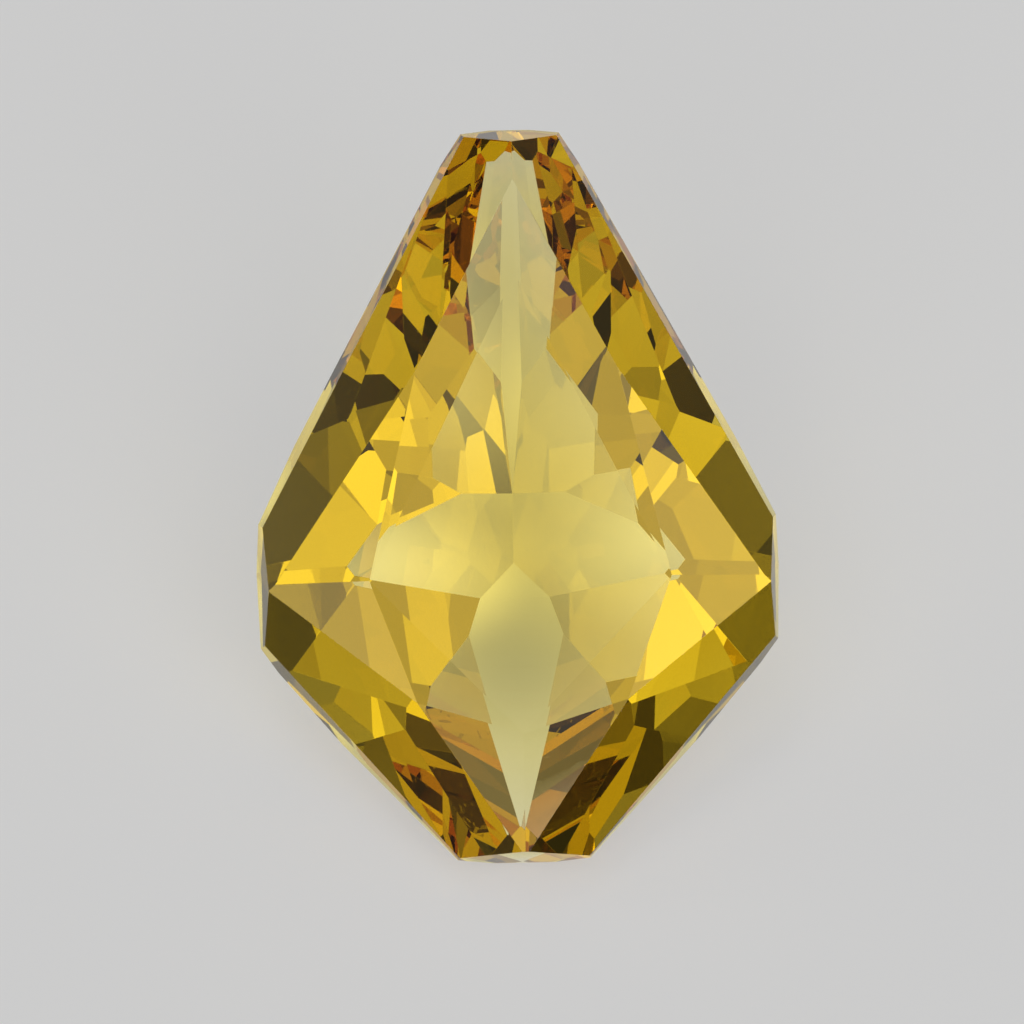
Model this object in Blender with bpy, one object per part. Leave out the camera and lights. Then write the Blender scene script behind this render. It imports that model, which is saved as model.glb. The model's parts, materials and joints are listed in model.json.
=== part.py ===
# A kite-cut citrine: one clear stone, ground facet by facet from a rough block.
#
# The stone is cut in its own frame, in millimetres: the table faces +Z, the narrow tip points
# along +Y, and the girdle's upper rim lies at Z = 0. It mirrors across its centre plane, X = 0.
# An azimuth turns from the narrow tip (0) by the right-hand corner (near 90) to the blunt end
# (180). An angle is a facet's tilt from the girdle's plane, as a cutter reads it, and a reach is
# how far from the centre line the facet's plane crosses a given level.
# The finished stone is given in metres, lying on its blunt-end main with its table facing -Y.

import math

import bmesh
import bpy
from mathutils import Matrix, Vector

METRES_PER_MM = 0.001
WELD_MM = 0.002

# The outline at its widest, at the girdle's lower rim: the reach of each of its sides
TIP_REACH = 7.26
BLUNT_REACH = 7.22
CORNER_REACH = 5.17
UPPER_SIDE_REACH = 4.36
LOWER_SIDE_REACH = 5.81
UPPER_SIDE_AZIMUTH = 61.6
LOWER_SIDE_AZIMUTH = 131.4

# The girdle leans inward as it rises
GIRDLE_HEIGHT = 0.63
GIRDLE_LEAN = 0.16
CORNER_RISE = 0.16      # how much higher the girdle runs across the tip and the corners

# The crown: the table's corners, the points where star, mains and break meet, and the height at
# which the ridge between each pair of mains runs out over the girdle
TABLE_HEIGHT = 0.86
TABLE_TIP = 4.42
TABLE_CORNER = (2.98, -1.58)
TABLE_BLUNT = -4.64
UPPER_MEET = (1.99, 2.54, 0.82)
LOWER_MEET = (2.08, -4.00, 0.82)
TIP_RIDGE_END = 0.78
CORNER_RIDGE_END = 0.44
CORNER_RIDGE_Y = -1.62
BLUNT_RIDGE_END = 0.55

# The pavilion: the mains meet at the culet, this far below the girdle's lower rim
CULET_DEPTH = 4.04
CULET_Y = 0.07
TIP_MAIN_ANGLE = 26.9
SIDE_MAINS = (          # azimuth, angle
    (56.5, 38.9),
    (86.3, 34.3),
)
BLUNT_MAIN_ANGLE, BLUNT_MAIN_REACH = 32.6, 7.72
TIP_BREAK_ANGLE = 44.8
BLUNT_BREAK_ANGLE = 46.0

# The other pavilion facets on each side: azimuth, angle, reach at the girdle's lower rim
PAVILION_BREAKS = (
    (47.4, 37.7, 5.47),                    # the long strips beside the tip main
    (38.7, 47.3, 5.91),
    (56.3, 42.3, 4.73),
    (59.5, 41.1, 4.81),
    (60.4, 49.9, UPPER_SIDE_REACH),        # under the girdle's upper side
    (71.7, 39.4, 5.07),                    # between the mains and the corner
    (73.4, 45.8, 4.52),
    (101.3, 44.9, 5.31),                   # under the corner
    (116.5, 40.4, 5.81),
    (141.8, 48.4, 6.05),
    (127.1, 45.2, LOWER_SIDE_REACH),       # under the girdle's lower side
    (155.1, 38.6, 6.87),                   # the wings of the blunt end
)


def facing(azimuth, angle):
    """The outward normal of a facet: angle 0 faces straight up, 90 sideways, 180 straight down."""
    turn, tilt = math.radians(azimuth), math.radians(angle)
    return Vector((math.sin(turn) * math.sin(tilt), math.cos(turn) * math.sin(tilt), math.cos(tilt)))


def plane_through(*points):
    """A facet plane through three points, facing away from the middle of the girdle."""
    first, second, third = map(Vector, points)
    normal = (second - first).cross(third - first).normalized()
    return (first, normal if normal.dot(first) > 0 else -normal)


def side_points(azimuth, reach, level, spread=1.0):
    """Two points on the level line that runs square to an azimuth, at its reach."""
    out = facing(azimuth, 90)
    along = Vector((out.y, -out.x, 0))
    middle = out * reach + Vector((0, 0, level))
    return middle - along * spread, middle + along * spread


def pavilion_plane(azimuth, angle, reach):
    """A plane under the girdle that crosses the girdle's lower rim at its reach."""
    level = Vector((0, 0, -GIRDLE_HEIGHT))
    return (facing(azimuth, 90) * reach + level, facing(azimuth, 180 - angle))


def culet_plane(azimuth, angle):
    """A pavilion plane through the culet."""
    culet = Vector((0, CULET_Y, -GIRDLE_HEIGHT - CULET_DEPTH))
    return (culet, facing(azimuth, 180 - angle))


def girdle_plane(azimuth, reach, rise=0.0):
    """One flat of the girdle, widest at its lower rim."""
    upper = side_points(azimuth, reach - GIRDLE_LEAN, rise)
    lower = side_points(azimuth, reach, -GIRDLE_HEIGHT)
    return plane_through(*upper, lower[0])


def mirrored(plane):
    """The same facet on the other side of the stone."""
    return tuple(Vector((-part.x, part.y, part.z)) for part in plane)


def crown_facets():
    """The stars, mains and breaks on the right-hand side of the crown."""
    tip = (0, TABLE_TIP, TABLE_HEIGHT)
    corner = (*TABLE_CORNER, TABLE_HEIGHT)
    blunt = (0, TABLE_BLUNT, TABLE_HEIGHT)
    tip_ridge = (0, TIP_REACH - GIRDLE_LEAN, TIP_RIDGE_END)
    corner_ridge = (CORNER_REACH - GIRDLE_LEAN, CORNER_RIDGE_Y, CORNER_RIDGE_END)
    blunt_ridge = (0, GIRDLE_LEAN - BLUNT_REACH, BLUNT_RIDGE_END)
    upper_side = side_points(UPPER_SIDE_AZIMUTH, UPPER_SIDE_REACH - GIRDLE_LEAN, 0)
    lower_side = side_points(LOWER_SIDE_AZIMUTH, LOWER_SIDE_REACH - GIRDLE_LEAN, 0)
    return [
        plane_through(tip, corner, UPPER_MEET),
        plane_through(corner, blunt, LOWER_MEET),
        plane_through(tip, tip_ridge, UPPER_MEET),
        plane_through(corner, corner_ridge, UPPER_MEET),
        plane_through(corner, corner_ridge, LOWER_MEET),
        plane_through(blunt, blunt_ridge, LOWER_MEET),
        plane_through(*upper_side, UPPER_MEET),
        plane_through(*lower_side, LOWER_MEET),
    ]


def side_facets():
    """Every facet on the right-hand side that has a twin on the left."""
    girdle = [
        girdle_plane(UPPER_SIDE_AZIMUTH, UPPER_SIDE_REACH),
        girdle_plane(LOWER_SIDE_AZIMUTH, LOWER_SIDE_REACH),
        girdle_plane(90, CORNER_REACH, CORNER_RISE),
    ]
    mains = [culet_plane(*facet) for facet in SIDE_MAINS]
    breaks = [pavilion_plane(*facet) for facet in PAVILION_BREAKS]
    return crown_facets() + girdle + mains + breaks


def centre_facets():
    """The facets that lie square across the centre plane, the blunt-end main first."""
    return [
        pavilion_plane(180, BLUNT_MAIN_ANGLE, BLUNT_MAIN_REACH),
        culet_plane(0, TIP_MAIN_ANGLE),
        pavilion_plane(0, TIP_BREAK_ANGLE, TIP_REACH),
        pavilion_plane(180, BLUNT_BREAK_ANGLE, BLUNT_REACH),
        girdle_plane(0, TIP_REACH, CORNER_RISE),
        girdle_plane(180, BLUNT_REACH, CORNER_RISE),
        (Vector((0, 0, TABLE_HEIGHT)), Vector((0, 0, 1))),
    ]


def grind(bm, plane):
    """Grinds one flat: what lies beyond the plane goes, and the cut is closed with one face."""
    point, normal = plane
    whole = bm.verts[:] + bm.edges[:] + bm.faces[:]
    cut = bmesh.ops.bisect_plane(
        bm, geom=whole, dist=WELD_MM / 10, plane_co=point, plane_no=normal, clear_outer=True
    )
    rim = [part for part in cut["geom_cut"] if isinstance(part, bmesh.types.BMEdge)]
    open_rim = [edge for edge in rim if edge.is_boundary]
    if open_rim:
        bmesh.ops.contextual_create(bm, geom=open_rim)


def cut_stone(name):
    """Grinds the whole stone from a block, in millimetres."""
    bm = bmesh.new()
    bmesh.ops.create_cube(bm, size=4 * max(TIP_REACH, BLUNT_REACH))
    planes = centre_facets()
    for plane in side_facets():
        planes += [plane, mirrored(plane)]
    for plane in planes:
        grind(bm, plane)
    bmesh.ops.remove_doubles(bm, verts=bm.verts[:], dist=WELD_MM)
    bmesh.ops.dissolve_degenerate(bm, dist=WELD_MM, edges=bm.edges[:])
    bmesh.ops.recalc_face_normals(bm, faces=bm.faces[:])
    mesh = bpy.data.meshes.new(name)
    bm.to_mesh(mesh)
    bm.free()
    return mesh


def lying_turn():
    """The turn that brings the blunt-end main flat onto the ground, table facing -Y."""
    return Matrix.Rotation(math.radians(BLUNT_MAIN_ANGLE), 4, "X")


def citrine_material():
    material = bpy.data.materials.new("citrine")
    material.use_nodes = True
    shader = material.node_tree.nodes["Principled BSDF"]
    shader.inputs["Base Color"].default_value = (0.90, 0.66, 0.10, 1)
    shader.inputs["Roughness"].default_value = 0.02
    shader.inputs["Metallic"].default_value = 0.0
    shader.inputs["IOR"].default_value = 1.55
    shader.inputs["Transmission Weight"].default_value = 1.0
    return material


def build_stone():
    """Lays the cut stone on the ground, its middle over the origin."""
    turn = lying_turn()
    mesh = cut_stone("citrine_stone")
    mesh.transform(Matrix.Scale(METRES_PER_MM, 4))
    corners = [turn @ vert.co for vert in mesh.vertices]
    low = [min(corner[axis] for corner in corners) for axis in range(3)]
    high = [max(corner[axis] for corner in corners) for axis in range(3)]
    stone = bpy.data.objects.new("citrine_stone", mesh)
    stone.rotation_euler = turn.to_euler()
    stone.location = (-(low[0] + high[0]) / 2, -(low[1] + high[1]) / 2, -low[2])
    mesh.materials.append(citrine_material())
    collection = bpy.data.collections.new("kite_cut_citrine")
    bpy.context.scene.collection.children.link(collection)
    collection.objects.link(stone)


for leftover in list(bpy.data.objects):
    bpy.data.objects.remove(leftover)

build_stone()
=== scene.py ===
import json
import math

import bmesh
import bpy
from mathutils import Matrix, Vector


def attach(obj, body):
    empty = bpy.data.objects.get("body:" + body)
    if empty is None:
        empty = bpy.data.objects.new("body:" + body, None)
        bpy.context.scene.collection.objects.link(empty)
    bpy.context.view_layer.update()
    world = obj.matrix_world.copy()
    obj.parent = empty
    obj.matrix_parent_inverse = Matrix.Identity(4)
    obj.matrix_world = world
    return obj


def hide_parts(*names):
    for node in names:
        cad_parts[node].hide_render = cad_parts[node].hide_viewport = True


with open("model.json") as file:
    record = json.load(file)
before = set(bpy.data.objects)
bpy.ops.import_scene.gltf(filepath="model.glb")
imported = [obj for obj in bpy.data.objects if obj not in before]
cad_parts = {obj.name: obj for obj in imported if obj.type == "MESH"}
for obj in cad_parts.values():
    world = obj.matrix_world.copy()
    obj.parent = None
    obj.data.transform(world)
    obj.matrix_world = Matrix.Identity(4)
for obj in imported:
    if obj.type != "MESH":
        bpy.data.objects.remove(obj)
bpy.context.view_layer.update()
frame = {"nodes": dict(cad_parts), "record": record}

mm = 0.001


# shader helpers: a wire is one socket, and sums and products of wires add their own Math nodes
class Wire:
    def __init__(self, shader, socket):
        self.shader = shader
        self.socket = socket

    def combine(self, operation, other):
        return self.shader.node("ShaderNodeMath", {"operation": operation}, {0: self, 1: other})

    def __add__(self, other):
        return self.combine("ADD", other)

    def __mul__(self, other):
        return self.combine("MULTIPLY", other)

    __radd__ = __add__
    __rmul__ = __mul__


class Shader:
    def __init__(self, owner):
        owner.use_nodes = True
        self.tree = owner.node_tree
        self.tree.nodes.clear()

    def node(self, kind, settings=None, sockets=None, output=0):
        made = self.tree.nodes.new(kind)
        for name, value in (settings or {}).items():
            setattr(made, name, value)
        for name, value in (sockets or {}).items():
            if isinstance(value, Wire):
                self.tree.links.new(value.socket, made.inputs[name])
            else:
                made.inputs[name].default_value = value
        return Wire(self, made.outputs[output]) if made.outputs else None


def inMillimetres(shader):
    spot = shader.node("ShaderNodeTexCoord", output="Object")
    return shader.node("ShaderNodeVectorMath", {"operation": "SCALE"}, {0: spot, "Scale": 1 / mm})


def softStep(shader, value, start, end, strength):
    return shader.node("ShaderNodeMapRange", {"interpolation_type": "SMOOTHSTEP"}, {
        "Value": value, "From Min": start, "From Max": end, "To Min": 0.0, "To Max": strength})


# the stone
stoneLook = {
    "weld": 0.001 * mm,                    # corners closer than this are one corner
    "sameFacet": 0.05,                     # degrees between triangles of one flat facet
    "edgeWidth": 0.012 * mm,               # how far each facet junction is worn
    "absorption": (18.0, 50.0, 335.0),     # red, green and blue lost on the way, per metre
    "ior": 1.55,
    "clearTint": (1.0, 0.995, 0.975, 1),
    "deepTint": (1.0, 0.975, 0.90, 1),
    "zoneSize": 0.16,                      # growth zones to the millimetre
    "polish": 0.002,                       # roughness of a clean facet
    "edgeRoughness": 0.12,
    "hairline": 0.035,                     # the fine straight wipes that daily wear leaves
    "hairlineLevels": (0.76, 0.79),        # only the crests of the noise make one
    "hairlineStretch": (0.10, 7.0, 7.0),
    "hairlineTurns": ((0.35, 0.2, 0.95), (0.1, 0.4, -0.6)),
}


def citrineMaterial(look):
    material = bpy.data.materials.new("citrine")
    shader = Shader(material)
    place = inMillimetres(shader)
    zones = shader.node("ShaderNodeTexNoise", sockets={
        "Vector": place, "Scale": look["zoneSize"], "Detail": 1.0})
    tint = shader.node("ShaderNodeMix", {"data_type": "RGBA"},
                       {0: zones, 6: look["clearTint"], 7: look["deepTint"]}, output=2)
    roughness = look["polish"]
    faint, full = look["hairlineLevels"]
    for turn in look["hairlineTurns"]:
        along = shader.node("ShaderNodeMapping", sockets={
            "Vector": place, "Rotation": turn, "Scale": look["hairlineStretch"]})
        thread = shader.node("ShaderNodeTexNoise", sockets={"Vector": along, "Scale": 1.0, "Detail": 0.0})
        roughness += shader.node("ShaderNodeMapRange", sockets={
            "Value": thread, "From Min": faint, "From Max": full, "To Min": 0.0, "To Max": look["hairline"]})
    worn = shader.node("ShaderNodeAttribute", {"attribute_name": "junction"}, output="Fac")
    roughness += worn * look["edgeRoughness"]
    surface = shader.node("ShaderNodeBsdfPrincipled", sockets={
        "Base Color": tint, "Roughness": roughness, "IOR": look["ior"], "Transmission Weight": 1.0})
    density = max(look["absorption"])
    kept = [1 - lost / density for lost in look["absorption"]]
    inside = shader.node("ShaderNodeVolumeAbsorption", sockets={"Color": (*kept, 1), "Density": density})
    shader.node("ShaderNodeOutputMaterial", sockets={"Surface": surface, "Volume": inside})
    return material


def polishedStone(node, look):
    # the cut solid again, its facets made whole and each junction between them worn to a hair's width
    bm = bmesh.new()
    bm.from_mesh(node.data)
    bmesh.ops.remove_doubles(bm, verts=bm.verts[:], dist=look["weld"])
    bmesh.ops.dissolve_limit(bm, angle_limit=math.radians(look["sameFacet"]),
                             verts=bm.verts[:], edges=bm.edges[:])
    junction = bm.faces.layers.float.new("junction")
    worn = bmesh.ops.bevel(bm, geom=bm.edges[:], offset=look["edgeWidth"], offset_type="WIDTH",
                           segments=1, profile=0.5, affect="EDGES", clamp_overlap=True)
    for face in worn["faces"]:
        face[junction] = 1.0
    bm.normal_update()
    mesh = bpy.data.meshes.new("citrineStone")
    bm.to_mesh(mesh)
    bm.free()
    for face in mesh.polygons:
        face.use_smooth = False
    stone = bpy.data.objects.new("citrineStone", mesh)
    bpy.context.scene.collection.objects.link(stone)
    mesh.materials.append(citrineMaterial(look))
    return stone


stone = polishedStone(frame["nodes"]["citrine_stone"], stoneLook)
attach(stone, "root")
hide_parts("citrine_stone")
print("stone polished")


# the stone's own axes as it lies: x to the right, y to the narrow tip, z out of the table
tableMiddle = Vector((0.0, -0.845 * mm, 0.86 * mm))      # on those axes, from the stone's middle


def cutterFrame():
    table = [mount for mount in frame["record"]["mounts"] if mount["name"] == "table"][0]
    out = Vector(table["axis"]).normalized()
    right = Vector((1, 0, 0))
    tip = out.cross(right)
    axes = Matrix((right, tip, out)).transposed()
    return axes, Vector(table["pos_m"]) - axes @ tableMiddle


# the pale ground under it
floorLook = {
    "width": 1.6,
    "pale": (0.42, 0.42, 0.415, 1),
    "shade": (0.39, 0.39, 0.385, 1),
    "mottle": 0.05,                   # clouds to the millimetre
    "roughness": 0.6,
    "glow": (0.42, 0.42, 0.421),
    "paintedPoolTint": (1.0, 0.95, 0.78),    # painted pools stand in for the light a stone gathers below
    "pools": (                        # right of the stone's middle, behind it, radius, painted light added (painted shade where below zero)
        (-1.6, 1.4, 2.3, 0.48),
        (2.2, 2.0, 2.4, 0.42),
        (1.0, 4.2, 2.2, 0.30),
        (0.0, -0.9, 2.2, -0.11),      # painted shade where it touches the ground
    ),
}


def paleFloor(look):
    bm = bmesh.new()
    bmesh.ops.create_grid(bm, x_segments=1, y_segments=1, size=look["width"] / 2)
    mesh = bpy.data.meshes.new("floor")
    bm.to_mesh(mesh)
    bm.free()
    floor = bpy.data.objects.new("floor", mesh)
    bpy.context.scene.collection.objects.link(floor)
    material = bpy.data.materials.new("paleFloor")
    shader = Shader(material)
    place = inMillimetres(shader)
    mottle = shader.node("ShaderNodeTexNoise", sockets={
        "Vector": place, "Scale": look["mottle"], "Detail": 3.0})
    colour = shader.node("ShaderNodeMix", {"data_type": "RGBA"},
                         {0: mottle, 6: look["pale"], 7: look["shade"]}, output=2)
    middle = cutterFrame()[1] / mm
    # painted pools of light, and one painted patch of shade, summed into the floor's glow
    paintedPoolLight = 0.0
    for right, behind, radius, strength in look["pools"]:
        away = shader.node("ShaderNodeVectorMath", {"operation": "DISTANCE"},
                           {0: place, 1: (middle.x + right, middle.y + behind, 0)}, output=1)
        paintedPoolLight += softStep(shader, away, radius, 0.0, strength)
    paintedWarmLight = shader.node("ShaderNodeVectorMath", {"operation": "SCALE"},
                       {0: look["paintedPoolTint"], "Scale": paintedPoolLight})
    glow = shader.node("ShaderNodeVectorMath", {"operation": "ADD"}, {0: paintedWarmLight, 1: look["glow"]})
    surface = shader.node("ShaderNodeBsdfPrincipled", sockets={
        "Base Color": colour, "Roughness": look["roughness"],
        "Emission Color": glow, "Emission Strength": 1.0})
    shader.node("ShaderNodeOutputMaterial", sockets={"Surface": surface})
    mesh.materials.append(material)


paleFloor(floorLook)
print("floor laid")


# soft light: a dim room with soft boxes hung round the stone, placed by a search program that
# matched trial pictures of the stone to the photograph; each row is a box's turn from the front,
# its height, where it is full and where it is gone, all in degrees, and its strength
lightLook = {
    "room": 0.03,
    "warmth": (1.0, 1.0, 1.0, 1),
    "boxes": (
        (-101, 28, 3, 9, 1.94),
        (-69, 60, 3, 9, 1.86),
        (29, 26, 6, 16, 1.27),
        (-135, 74, 6, 16, 1.14),
        (159, -2, 3, 9, 1.00),
        (-24, 26, 12, 26, 0.82),
        (-106, 13, 3, 9, 0.81),
        (37, 49, 6, 16, 0.76),
        (-16, 60, 20, 40, 0.52),
        (37, 68, 12, 26, 0.40),
        (29, 26, 12, 26, 0.36),
        (81, 61, 6, 16, 0.34),
        (-179, 55, 12, 26, 0.25),
        (112, 38, 6, 16, 0.19),
    ),
}


def softSky(look):
    world = bpy.data.worlds.new("softSky")
    bpy.context.scene.world = world
    shader = Shader(world)
    towards = shader.node("ShaderNodeTexCoord", output="Generated")
    light = look["room"]
    for *angles, strength in look["boxes"]:
        turn, height, inner, outer = map(math.radians, angles)
        aim = (math.sin(turn) * math.cos(height), -math.cos(turn) * math.cos(height), math.sin(height))
        near = shader.node("ShaderNodeVectorMath", {"operation": "DOT_PRODUCT"},
                           {0: towards, 1: aim}, output=1)
        light += softStep(shader, near, math.cos(outer), math.cos(inner), strength)
    sky = shader.node("ShaderNodeBackground", sockets={"Color": look["warmth"], "Strength": light})
    shader.node("ShaderNodeOutputWorld", sockets={"Surface": sky})


softSky(lightLook)
print("lights set")


# the camera squares up to the table, as the photograph does
viewLook = {
    "pixel": 14.5 / 735 * mm,         # the stone's 14.5 mm span 735 pixels of the frame
    "imageSize": 1024,
    "middle": (517.4, 497.5),         # the pixel where the stone's own middle lands
    "towardsTip": 0.25,               # degrees off the table's normal
    "towardsRight": -2.11,
    "roll": 1.17,
    "distance": 0.32,
    "sensorWidth": 36,
    "clip": (0.01, 10),
    "bounces": 18,                    # light turns many times inside a cut stone
}


def photographCamera(look):
    axes, middle = cutterFrame()
    aside, along = math.radians(look["towardsRight"]), math.radians(look["towardsTip"])
    back = (axes @ Vector((math.tan(aside), math.tan(along), 1))).normalized()
    roll = math.radians(look["roll"])
    upHint = axes @ Vector((math.sin(roll), math.cos(roll), 0))
    right = upHint.cross(back).normalized()
    up = back.cross(right)
    half = look["imageSize"] / 2
    acrossFrame = (look["middle"][0] - half) * look["pixel"]
    upFrame = (half - look["middle"][1]) * look["pixel"]
    aim = middle - right * acrossFrame - up * upFrame
    data = bpy.data.cameras.new("photograph")
    data.sensor_width = look["sensorWidth"]
    data.lens = data.sensor_width * look["distance"] / (look["imageSize"] * look["pixel"])
    data.clip_start, data.clip_end = look["clip"]
    camera = bpy.data.objects.new("photograph", data)
    turn = Matrix((right, up, back)).transposed().to_4x4()
    camera.matrix_world = Matrix.Translation(aim + back * look["distance"]) @ turn
    bpy.context.scene.collection.objects.link(camera)
    bpy.context.scene.camera = camera


photographCamera(viewLook)

scene = bpy.context.scene
scene.view_settings.view_transform = "Standard"
scene.cycles.max_bounces = viewLook["bounces"]
scene.cycles.glossy_bounces = viewLook["bounces"]
scene.cycles.transmission_bounces = viewLook["bounces"]
scene.cycles.diffuse_bounces = 1
scene.cycles.volume_bounces = 0
scene.cycles.caustics_refractive = True
scene.cycles.caustics_reflective = True
scene.cycles.blur_glossy = 0.0
print("camera placed")
